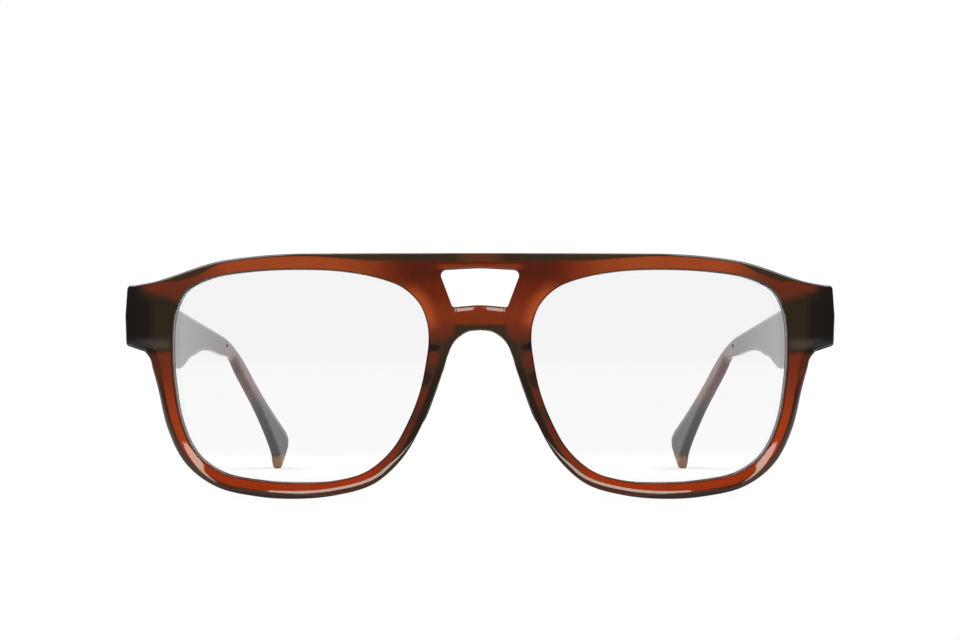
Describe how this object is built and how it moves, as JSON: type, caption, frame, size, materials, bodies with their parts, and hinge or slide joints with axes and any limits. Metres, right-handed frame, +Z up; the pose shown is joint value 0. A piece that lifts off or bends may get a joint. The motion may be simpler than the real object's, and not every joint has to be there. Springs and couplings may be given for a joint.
{
  "type": "eyeglass frame",
  "caption": "Full-rim acetate eyeglass frame with a double bridge, squared lenses and folding temples, shown standing open on its rims and temple tips",
  "frame": {"origin": "middle of the footprint, on the surface it stands on", "axes": "+X across the front towards the wearer's left temple, +Y back along the temples, +Z up"},
  "size_m": [0.1446, 0.14, 0.0494],
  "materials": {
    "front_acetate": "translucent red-brown tortoise acetate, polished",
    "temple_acetate": "translucent dark tortoise acetate, polished",
    "pad_acetate": "translucent brown acetate, polished",
    "demo_lens": "clear plastic, polished",
    "hinge_metal": "nickel silver, tumbled",
    "wire_metal": "plain drawn wire"
  },
  "bodies": {
    "front_body": {"front": "front_acetate", "nose_pad_right": "pad_acetate", "nose_pad_left": "pad_acetate", "lens_right": "demo_lens", "lens_left": "demo_lens", "hinge_front_right": "hinge_metal", "hinge_front_left": "hinge_metal", "hinge_screw_right": "hinge_metal", "hinge_screw_left": "hinge_metal"},
    "temple_right_body": {"temple_right": "temple_acetate", "core_wire_right": "wire_metal", "hinge_temple_right": "hinge_metal"},
    "temple_left_body": {"temple_left": "temple_acetate", "core_wire_left": "wire_metal", "hinge_temple_left": "hinge_metal"}
  },
  "joints": [
    {"name": "temple_right_hinge", "type": "hinge", "parent": "front_body", "child": "temple_right_body", "pos_m": [-0.06656, -0.05557, 0.0373], "axis": [0, 0, -1], "range_deg": [0, 78.5]},
    {"name": "temple_left_hinge", "type": "hinge", "parent": "front_body", "child": "temple_left_body", "pos_m": [0.06656, -0.05557, 0.0373], "axis": [0, 0, 1], "range_deg": [0, 82.5]}
  ]
}
